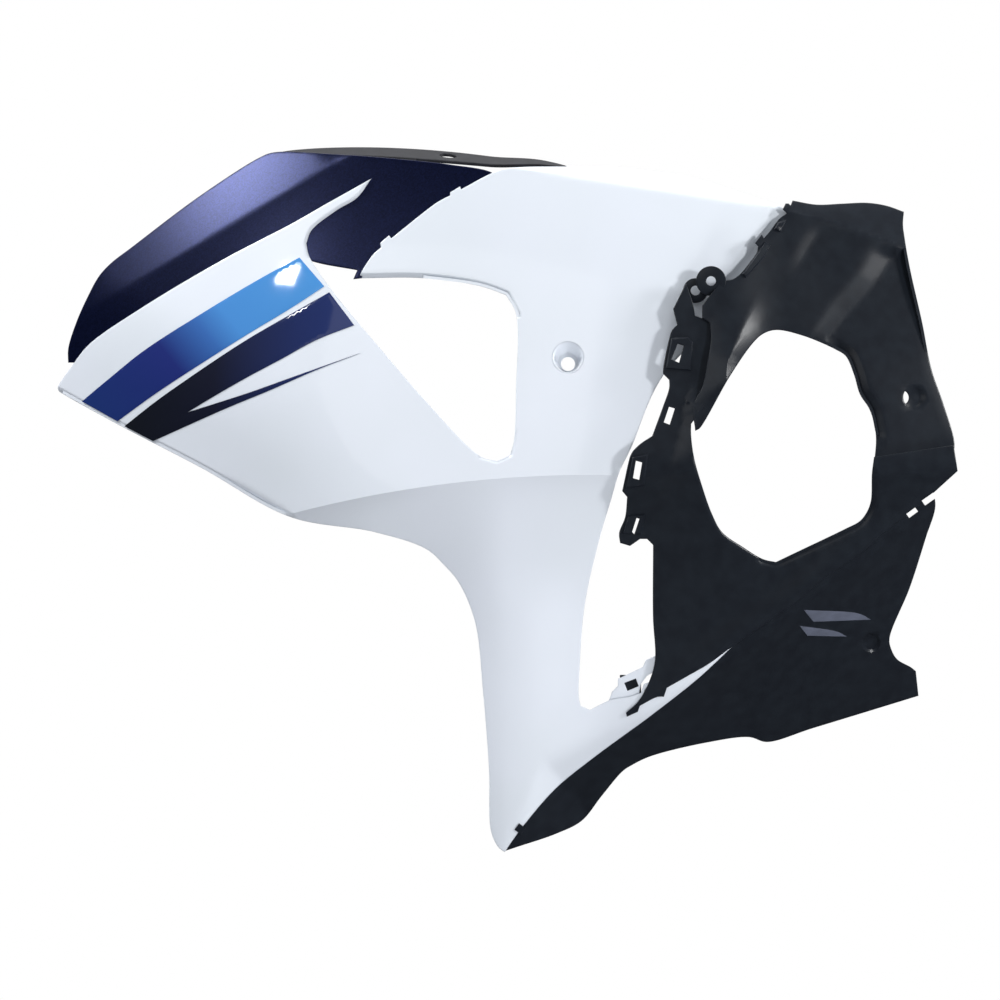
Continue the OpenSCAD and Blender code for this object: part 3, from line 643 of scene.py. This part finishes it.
def add_node(tree, kind, links=(), inputs=(), stops=(), **settings):
    """Adds one node: links are (its input, output to take), inputs are (its input, value).

    The stops of a colour ramp are (position, hex colour).
    """
    node = tree.nodes.new(kind)
    for name, value in settings.items():
        setattr(node, name, value)
    for socket, value in inputs:
        node.inputs[socket].default_value = value
    for socket, source in links:
        tree.links.new(source, node.inputs[socket])
    while stops and len(node.color_ramp.elements) < len(stops):
        node.color_ramp.elements.new(0.5)
    for k, (position, colour) in enumerate(stops):
        node.color_ramp.elements[k].position = position
        node.color_ramp.elements[k].color = linear(colour)
    return node


def new_material(name):
    material = bpy.data.materials.new(name)
    material.use_nodes = True
    tree = material.node_tree
    shader = tree.nodes["Principled BSDF"]
    place = add_node(tree, "ShaderNodeTexCoord").outputs["Object"]
    return material, tree, shader, place


def per_metre(size_mm):
    """Pattern scale that makes one cell this many millimetres wide."""
    return 1 / (size_mm * MM)


def white_lacquer():
    """White gloss lacquer over moulded ABS: a deep clear coat with a faint orange peel."""
    material, tree, shader, place = new_material("white_lacquer")
    cloud = add_node(tree, "ShaderNodeTexNoise", links=[("Vector", place)],
                     inputs=[("Scale", per_metre(160)), ("Detail", 2.0)])
    tint = add_node(tree, "ShaderNodeValToRGB", links=[("Fac", cloud.outputs["Fac"])],
                    stops=[(0.3, "#e4eaf1"), (0.7, "#e9eef7")])
    peel = add_node(tree, "ShaderNodeTexNoise", links=[("Vector", place)],
                    inputs=[("Scale", per_metre(3.5)), ("Detail", 1.0)])
    bump = add_node(tree, "ShaderNodeBump", links=[("Height", peel.outputs["Fac"])],
                    inputs=[("Strength", 0.05), ("Distance", 0.1 * MM)])
    tree.links.new(tint.outputs["Color"], shader.inputs["Base Color"])
    tree.links.new(bump.outputs["Normal"], shader.inputs["Coat Normal"])
    shader.inputs["Roughness"].default_value = 0.3
    shader.inputs["IOR"].default_value = 1.5
    shader.inputs["Coat Weight"].default_value = 1.0
    shader.inputs["Coat Roughness"].default_value = 0.04
    return material


def navy_metallic():
    """Navy metallic lacquer: fine flakes that brighten towards the light, satin clear coat."""
    material, tree, shader, place = new_material("navy_metallic_lacquer")
    flakes = add_node(tree, "ShaderNodeTexVoronoi", links=[("Vector", place)],
                      inputs=[("Scale", per_metre(1.2))])
    tint = add_node(tree, "ShaderNodeValToRGB", links=[("Fac", flakes.outputs["Color"])],
                    stops=[(0.0, "#101736"), (1.0, "#1c2550")])
    bump = add_node(tree, "ShaderNodeBump", links=[("Height", flakes.outputs["Color"])],
                    inputs=[("Strength", 0.12), ("Distance", 0.1 * MM)])
    tree.links.new(tint.outputs["Color"], shader.inputs["Base Color"])
    tree.links.new(bump.outputs["Normal"], shader.inputs["Normal"])
    shader.inputs["Metallic"].default_value = 0.75
    shader.inputs["Roughness"].default_value = 0.28
    shader.inputs["Coat Weight"].default_value = 0.15
    shader.inputs["Coat Roughness"].default_value = 0.28
    return material


def moulded_black(name, colour_low, colour_high, roughness, grain_mm, grain_depth):
    """Black ABS straight from a grained mould: a fine even grain, no lacquer."""
    material, tree, shader, place = new_material(name)
    cloud = add_node(tree, "ShaderNodeTexNoise", links=[("Vector", place)],
                     inputs=[("Scale", per_metre(14)), ("Detail", 3.0)])
    tint = add_node(tree, "ShaderNodeValToRGB", links=[("Fac", cloud.outputs["Fac"])],
                    stops=[(0.35, colour_low), (0.7, colour_high)])
    grain = add_node(tree, "ShaderNodeTexNoise", links=[("Vector", place)],
                     inputs=[("Scale", per_metre(grain_mm)), ("Detail", 2.0)])
    bump = add_node(tree, "ShaderNodeBump", links=[("Height", grain.outputs["Fac"])],
                    inputs=[("Strength", 0.4), ("Distance", grain_depth * MM)])
    tree.links.new(tint.outputs["Color"], shader.inputs["Base Color"])
    tree.links.new(bump.outputs["Normal"], shader.inputs["Normal"])
    shader.inputs["Roughness"].default_value = roughness
    shader.inputs["IOR"].default_value = 1.5
    shader.inputs["Specular IOR Level"].default_value = 0.45
    return material


def printed_vinyl(name, slope, first, last, inks):
    """Printed vinyl film: the ink runs from dark at the nose to lighter, under a gloss laminate.

    The print runs along x + slope * z, from first to last in metres.
    """
    material, tree, shader, place = new_material(name)
    split = add_node(tree, "ShaderNodeSeparateXYZ", links=[("Vector", place)])
    along = add_node(tree, "ShaderNodeMath", operation="MULTIPLY_ADD",
                     links=[(0, split.outputs["Z"]), (2, split.outputs["X"])], inputs=[(1, slope)])
    share = add_node(tree, "ShaderNodeMapRange", links=[("Value", along.outputs[0])],
                     inputs=[("From Min", first), ("From Max", last)])
    tint = add_node(tree, "ShaderNodeValToRGB", links=[("Fac", share.outputs[0])], stops=inks)
    tree.links.new(tint.outputs["Color"], shader.inputs["Base Color"])
    shader.inputs["Roughness"].default_value = 0.6
    shader.inputs["Specular IOR Level"].default_value = 0.2
    shader.inputs["Coat Weight"].default_value = 1.0
    shader.inputs["Coat Roughness"].default_value = 0.05
    return material


def grey_film():
    """Satin grey vinyl film."""
    material, tree, shader, place = new_material("grey_satin_vinyl")
    cloud = add_node(tree, "ShaderNodeTexNoise", links=[("Vector", place)],
                     inputs=[("Scale", per_metre(20))])
    tint = add_node(tree, "ShaderNodeValToRGB", links=[("Fac", cloud.outputs["Fac"])],
                    stops=[(0.3, "#565b69"), (0.7, "#626777")])
    tree.links.new(tint.outputs["Color"], shader.inputs["Base Color"])
    shader.inputs["Roughness"].default_value = 0.4
    return material


def zinc_plate():
    """Bright zinc plate on steel screws: a pale metal with a faint cloudy film."""
    material, tree, shader, place = new_material("zinc_plated_steel")
    cloud = add_node(tree, "ShaderNodeTexNoise", links=[("Vector", place)],
                     inputs=[("Scale", per_metre(2))])
    tint = add_node(tree, "ShaderNodeValToRGB", links=[("Fac", cloud.outputs["Fac"])],
                    stops=[(0.3, "#a9acb0"), (0.7, "#c3c6ca")])
    tree.links.new(tint.outputs["Color"], shader.inputs["Base Color"])
    shader.inputs["Metallic"].default_value = 1.0
    shader.inputs["Roughness"].default_value = 0.35
    return material


# The pieces

def main_cowl(material):
    vent_top = flowing([[-209, 86], [-145, 86], [-88, 78], [-62, 69], [-52, 50]], False)
    vent_foot = flowing([[-54, -70], [-58, -91], [-71, -97], [-88, -92]], False)
    lower_edge = flowing([[-515, -25], [-452, -60], [-367, -104], [-278, -153]], False)
    spike_edge = flowing(SPIKE_LOW[:-1] + [[-199, 182]], False)
    outline = flowing(rounded(COWL))
    shoulder = np.arange(-274, 47, EDGE_STEP)
    shoulder = np.stack([shoulder, crease_z(shoulder)], 1)
    holes = [circle((CUP_AT[0], CUP_AT[1] + CUP_MOUTH_UP), CUP_MOUTH)]
    holes += [circle(at, BOSS + 0.5, 16) for at in RIM_SCREWS_AT + SPIKE_SCREWS_AT]
    parts = [
        sheet_mesh(outline, side_place(cowl_y, rim_folds), holes,
                   lines=[np.array(RIM_LINE, float), shoulder],
                   lips=[(vent_top, 5.0, 1.6), (vent_foot, 3.0, 1.2), (lower_edge, 4.5, 1.2),
                         (spike_edge, 3.0, 0.9)]),
        sheet_mesh(flowing(BRACKET, sharpest=15),
                   side_place(lambda x, z: cowl_y(x, z) + WALL - 0.5), [flowing(BRACKET_HOLE)]),
        bolt_cup(CUP_AT, CUP_MOUTH, CUP_MOUTH_UP, CUP_FLOOR, MAIN_BORE, 0.0, cowl_y)]
    parts += bosses(NOSE_SCREWS_AT, cowl_y, nose_y) + bosses(BELLY_SCREWS_AT, cowl_y, under_y)
    low = [[-508, -29]] + COWL_LOW[1:]
    parts += [ribbon(path, cowl_y) for path in (low, COWL_GAP, COWL_VENT)]
    return mesh_object("cowl_skin", *merged(parts), material)


def nose_panel(material):
    holes = [circle(at, BOSS + 0.5, 16) for at in NOSE_SCREWS_AT]
    crease = flowing([[-454, 71], [-372, 119], [-304, 159], [-243, 195], [-219, 200], [-170, 200]],
                     False)
    parts = [sheet_mesh(flowing(NOSE), side_place(nose_skin_y), holes, lines=[crease]),
             ribbon(NOSE_FRONT[::-1], nose_skin_y)]
    parts += bosses(STRIP_SCREWS_AT, nose_y, strip_tab_y)
    return mesh_object("nose_skin", *merged(parts), material)


def upper_rear_panel(material):
    ear_y = float(upper_y(*map(float, UPPER_EAR_AT)))
    holes = [lens(REAR_MOUTH_AT, REAR_MOUTH - 1.6, REAR_HOLE_AT, REAR_HOLE)]
    holes += [circle(at, BOSS + 0.5, 16) for at in SEAM_SCREWS_AT]
    rim = flowing(UPPER_OPENING[:6], False)
    lines = [flowing(path, False) for path in (UPPER_CREST, UPPER_RIB, WING_CREST)]
    lines += dish_lines(REAR_MOUTH_AT, REAR_MOUTH, REAR_MOUTH - 4)
    parts = [
        sheet_mesh(flowing(UPPER), side_place(upper_y, upper_folds), holes,
                   lines=lines + [flowing(BROW, False)] + pad_lines(RIM_PADS), lips=[(rim, 11.0, 0.6)]),
        ear(UPPER_EAR_AT, EAR, ear_y, ear_y + EAR_THICK)]
    parts += bosses(RIM_SCREWS_AT, upper_y, cowl_y)
    parts += [ribbon(path[::-1], upper_y) for path in (UPPER_REAR, UPPER_OPENING)]
    return mesh_object("upper_rear_skin", *merged(parts), material)


def ear(at, radius, start, end):
    """A flat round lug with a bolt hole and rounded rims."""
    return ring_walls(at, [
        (EAR_BORE, start + 0.5, 0), (EAR_BORE, end, 0), (radius, end, 0), (radius, start + 1, 0),
        (radius - 0.3, start + 0.3, 0), (radius - 1, start, 0), (EAR_BORE + 0.5, start, 0),
        (EAR_BORE, start + 0.5, 0)])


def mid_panel(material):
    seat_y = float(upper_y(*map(float, UPPER_EAR_AT))) + EAR_THICK + LAP_GAP
    holes = [flowing(hole, sharpest=10) for hole in SLOTS + REAR_SLOTS]
    low_rim = flowing([[304, -109]] + MID_OPENING[:7], False)
    front_rim = flowing(MID_OPENING[6:], False)
    parts = [
        sheet_mesh(flowing(MID), side_place(mid_y, mid_folds), holes,
                   lines=[flowing(WEDGE, False)] + pad_lines(SLOT_PADS),
                   lips=[(low_rim, 6.0, 0.7), (front_rim, 2.2, 0.8)]),
        ear(MID_EAR_AT, 12.5, seat_y, seat_y + EAR_THICK)]
    parts += [ribbon(path, mid_y) for path in (MID_GAP, MID_OPENING)]
    parts += bosses(SEAM_SCREWS_AT, mid_y, upper_y) + bosses(SPIKE_SCREWS_AT, mid_y, cowl_y)
    parts += bosses(KEEL_SCREWS_AT, mid_y, under_y)
    return mesh_object("mid_skin", *merged(parts), material)


def under_cowl(material):
    holes = [flowing(hole, sharpest=10) for hole in REAR_SLOTS]
    holes += [circle(at, BOSS + 0.5, 16) for at in BELLY_SCREWS_AT + KEEL_SCREWS_AT]
    out = LAYER + LAP_GAP
    parts = [
        sheet_mesh(flowing(UNDER), side_place(under_y, under_folds), holes,
                   lines=dish_lines(DIMPLE_AT, DIMPLE, DIMPLE - 1.5, DIMPLE - 3)),
        sheet_mesh(flowing(BACKING), side_place(lambda x, z: under_y(x, z) + WALL - 0.5)),
        sheet_mesh(flowing(HOOK, step=1), side_place(lambda x, z: under_y(x, z) - out - 1.6),
                   edge=0.4, wall=1.6, spacing=2),
        sheet_mesh(flowing(HOOK_FOOT, step=1), side_place(lambda x, z: under_y(x, z) - out - 0.8),
                   edge=0.1, wall=out + 2.2, spacing=2),
        ribbon(UNDER_LOW, under_y)]
    return mesh_object("under_skin", *merged(parts), material)


def film(name, shapes, depth, material):
    """Vinyl film laid on a panel, a hair above it."""
    parts = [sheet_mesh(flowing(shape), side_place(lambda x, z: depth(x, z) - FILM - 0.05),
                        edge=0.15, wall=FILM) for shape in shapes]
    return mesh_object(name, *merged(parts), material)


def top_strip(material):
    """The ledge along the top of the nose panel, a curved shelf with one hole."""
    first, last, width, thick = -292.0, 2.0, 43.0, 3.0
    hole_at, hole_r = -120.0, 8.5

    def front_z(t):
        return 212 - 20 * t ** 1.7 + 5 * soft_step((t - 0.72) / 0.2)

    def bow(t):
        return np.sin(np.pi * np.clip(t, 0, 1)) ** 0.6

    def front_y(t):
        x = first + (last - first) * t
        nose = nose_skin_y(x, front_z(t))
        cowl = np.where(t < 0.7, -1e3, cowl_y(x, front_z(t)))
        return np.maximum(nose, cowl) + WALL + LAP_GAP

    def place(x, v, behind):
        t = np.clip((x - first) / (last - first), 0, 1)
        share = v / width
        return np.stack([x, front_y(t) + v * np.maximum(0.12, bow(t)),
                         front_z(t) + 10 * bow(t) * share - behind], 1)

    side = np.linspace(first, last, 60)
    outline = np.concatenate([np.stack([side, np.zeros(60)], 1),
                              np.stack([side[::-1], np.full(60, width)], 1)])
    hole = circle((hole_at, width * 0.55), hole_r)
    parts = [sheet_mesh(outline, place, [hole], wall=thick, spacing=5)]
    for x, z in STRIP_SCREWS_AT:
        tab = [[x - 8, z - 11], [x + 8, z - 11], [x + 8, z + 22], [x - 8, z + 22]]
        parts.append(sheet_mesh(flowing(tab), side_place(strip_tab_y), [circle((x, z), BOSS + 0.5, 16)]))
    return mesh_object("top_strip_skin", *merged(parts), material)


# Stage, light and camera

FLOOR_Z = -900
CLOTH_RADIUS, CLOTH_TOP = 3600, 12000


def studio(floor_z):
    """A pale floor below the part and a white surround."""
    scene = bpy.context.scene
    scene.view_settings.view_transform = "Standard"
    world = bpy.data.worlds.new("studio")
    scene.world = world
    world.use_nodes = True
    tree = world.node_tree
    tree.nodes.clear()
    path = add_node(tree, "ShaderNodeLightPath")
    seen = add_node(tree, "ShaderNodeMath", operation="MAXIMUM",
                    links=[(0, path.outputs["Is Camera Ray"]), (1, path.outputs["Is Glossy Ray"])])
    shown = add_node(tree, "ShaderNodeMath", operation="MAXIMUM",
                     links=[(0, seen.outputs[0]), (1, path.outputs["Is Transmission Ray"])])
    place = add_node(tree, "ShaderNodeTexCoord").outputs["Generated"]
    split = add_node(tree, "ShaderNodeSeparateXYZ", links=[("Vector", place)])
    height = add_node(tree, "ShaderNodeMapRange", links=[("Value", split.outputs["Z"])],
                      inputs=[("From Min", -0.6), ("From Max", 0.7)])
    sky = add_node(tree, "ShaderNodeValToRGB", links=[("Fac", height.outputs[0])],
                   stops=[(0.0, "#4c4f54"), (0.5, "#9da2a8"), (1.0, "#dfe4ea")])
    dim = add_node(tree, "ShaderNodeBackground", links=[("Color", sky.outputs["Color"])],
                   inputs=[("Strength", 0.5)])
    white = add_node(tree, "ShaderNodeBackground", inputs=[("Color", (1, 1, 1, 1)), ("Strength", 1.0)])
    mix = add_node(tree, "ShaderNodeMixShader", links=[
        ("Fac", shown.outputs[0]), (1, dim.outputs[0]), (2, white.outputs[0])])
    add_node(tree, "ShaderNodeOutputWorld", links=[("Surface", mix.outputs[0])])

    mesh = bpy.data.meshes.new("floor")
    half = 2600
    mesh.from_pydata([(x * MM, y * MM, floor_z * MM) for x, y in
                      ((-half, -half), (half, -half), (half, half), (-half, half))], [], [(0, 1, 2, 3)])
    floor = bpy.data.objects.new("floor", mesh)
    scene.collection.objects.link(floor)
    material = bpy.data.materials.new("floor_paper")
    material.use_nodes = True
    tree = material.node_tree
    tree.nodes.clear()
    path = add_node(tree, "ShaderNodeLightPath")
    pale = add_node(tree, "ShaderNodeBsdfDiffuse", inputs=[("Color", linear("#e2e3e5"))])
    bounce = add_node(tree, "ShaderNodeBsdfDiffuse", inputs=[("Color", linear("#8e8f92"))])
    mix = add_node(tree, "ShaderNodeMixShader", links=[
        ("Fac", path.outputs["Is Diffuse Ray"]), (1, pale.outputs[0]), (2, bounce.outputs[0])])
    add_node(tree, "ShaderNodeOutputMaterial", links=[("Surface", mix.outputs[0])])
    mesh.materials.append(material)


def dark_cloth(floor_z, radius, top):
    """A black cloth hung in a bow before the side and laid below it, which only the gloss shows."""
    bow = np.radians(np.linspace(135, 405, 55))
    ring = [(radius * math.cos(a) * MM, radius * math.sin(a) * MM) for a in bow]
    points = [(x, y, floor_z * MM) for x, y in ring] + [(x, y, top * MM) for x, y in ring]
    count = len(ring)
    faces = [(i, i + 1, i + 1 + count, i + count) for i in range(count - 1)]
    turn = np.radians(np.arange(0, 360, 10))
    points += [(radius * math.cos(a) * MM, radius * math.sin(a) * MM, floor_z * MM) for a in turn]
    faces.append(tuple(range(2 * count, 2 * count + len(turn))))
    mesh = bpy.data.meshes.new("dark_cloth")
    mesh.from_pydata(points, [], faces)
    material, _, shader, _ = new_material("black_molton_cloth")
    shader.inputs["Base Color"].default_value = linear("#1a1a1c")
    shader.inputs["Roughness"].default_value = 1.0
    mesh.materials.append(material)
    cloth = bpy.data.objects.new("dark_cloth", mesh)
    bpy.context.scene.collection.objects.link(cloth)
    cloth.visible_camera = cloth.visible_diffuse = cloth.visible_shadow = False
    cloth.visible_transmission = False


def lamp(name, at, aim, size, power, in_gloss=True):
    """A soft rectangular lamp, in millimetres and watts, which the gloss may show or not."""
    data = bpy.data.lights.new(name, "AREA")
    data.shape = "RECTANGLE"
    data.size, data.size_y = (s * MM for s in size)
    data.energy = power
    light = bpy.data.objects.new(name, data)
    light.location = Vector(at) * MM
    light.rotation_euler = (Vector(aim) - Vector(at)).to_track_quat("-Z", "Y").to_euler()
    light.visible_glossy = in_gloss
    bpy.context.scene.collection.objects.link(light)


def camera():
    """A long lens square to the side, one metre of the side across the frame."""
    far, width, centre_x, centre_z = 40000, 1000, -68, -136
    data = bpy.data.cameras.new("camera")
    data.sensor_width = 36
    data.lens = data.sensor_width * far / width
    data.clip_end = 2 * far * MM
    eye = bpy.data.objects.new("camera", data)
    eye.location = Vector((centre_x, -far, centre_z)) * MM
    eye.rotation_euler = (math.radians(90), 0, 0)
    bpy.context.scene.collection.objects.link(eye)
    bpy.context.scene.camera = eye


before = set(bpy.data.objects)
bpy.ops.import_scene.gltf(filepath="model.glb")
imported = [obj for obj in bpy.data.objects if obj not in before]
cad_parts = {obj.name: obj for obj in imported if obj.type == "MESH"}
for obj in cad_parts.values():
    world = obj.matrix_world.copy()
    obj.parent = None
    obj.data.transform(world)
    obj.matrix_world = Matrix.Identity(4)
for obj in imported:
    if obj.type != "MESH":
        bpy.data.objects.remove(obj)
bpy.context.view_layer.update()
camera()

lacquer = white_lacquer()
metallic = navy_metallic()
blue_vinyl = printed_vinyl("blue_printed_vinyl", 0.8, -0.52, -0.17, [
    (0.0, "#17306f"), (0.36, "#1c2a74"), (0.52, "#3466ae"), (0.62, "#468acf"), (1.0, "#4a93d6")])
navy_vinyl = printed_vinyl("navy_printed_vinyl", 0.0, -0.45, -0.21, [
    (0.0, "#0e131b"), (0.4, "#11152a"), (0.75, "#18275a"), (1.0, "#1d2f68")])
grained = moulded_black("grained_black_abs", "#1a1e25", "#1f242b", 0.37, 0.9, 0.1)
matt = moulded_black("matt_black_abs", "#191a1f", "#222329", 0.6, 0.7, 0.08)
zinc = zinc_plate()

pieces = [
    (main_cowl(lacquer), "main_cowl", "white_paint"),
    (nose_panel(metallic), "nose_panel", "navy_paint"),
    (top_strip(matt), "top_strip", "matt_black"),
    (upper_rear_panel(grained), "upper_rear_panel", "grained_black"),
    (mid_panel(grained), "mid_panel", "grained_black"),
    (under_cowl(grained), "under_cowl", "grained_black"),
    (film("blue_film", [BLUE], cowl_y, blue_vinyl), "blue_stripe", "blue_film"),
    (film("navy_film", [NAVY], cowl_y, navy_vinyl), "navy_stripe", "navy_film"),
    (film("dart_film", DARTS, under_y, grey_film()), "belly_darts", "grey_film")]
for piece, node, slot in pieces:
    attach(piece, "root")
    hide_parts(node)
for node in ("nose_screws", "rim_screws", "seam_screws", "spike_screws", "belly_screws",
             "keel_screws", "strip_screws"):
    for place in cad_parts[node].material_slots:
        place.material = zinc

studio(FLOOR_Z)
dark_cloth(FLOOR_Z + 20, CLOTH_RADIUS, CLOTH_TOP)
lamp("key_right", (2540, -1860, 550), (0, 0, 0), (350, 350), 46, in_gloss=False)
lamp("edge_right", (2990, -260, 1090), (250, 0, 0), (500, 500), 55)
lamp("key_left", (-2247, -1449, 1773), (-282, 75, 93), (150, 110), 4)
lamp("soft_left", (-990, -2460, 1180), (100, 0, 0), (2300, 1700), 9)
lamp("side_left", (-2050, 220, 2110), (-300, 120, 180), (600, 500), 23)
lamp("fill_left", (-2400, -210, 2170), (-200, 0, 0), (1000, 1000), 57, in_gloss=False)
lamp("front_low", (-50, -800, -800), (-40, 0, -330), (400, 300), 4.3, in_gloss=False)
lamp("top", (-300, 900, 2200), (-200, 0, 0), (1800, 900), 42, in_gloss=False)
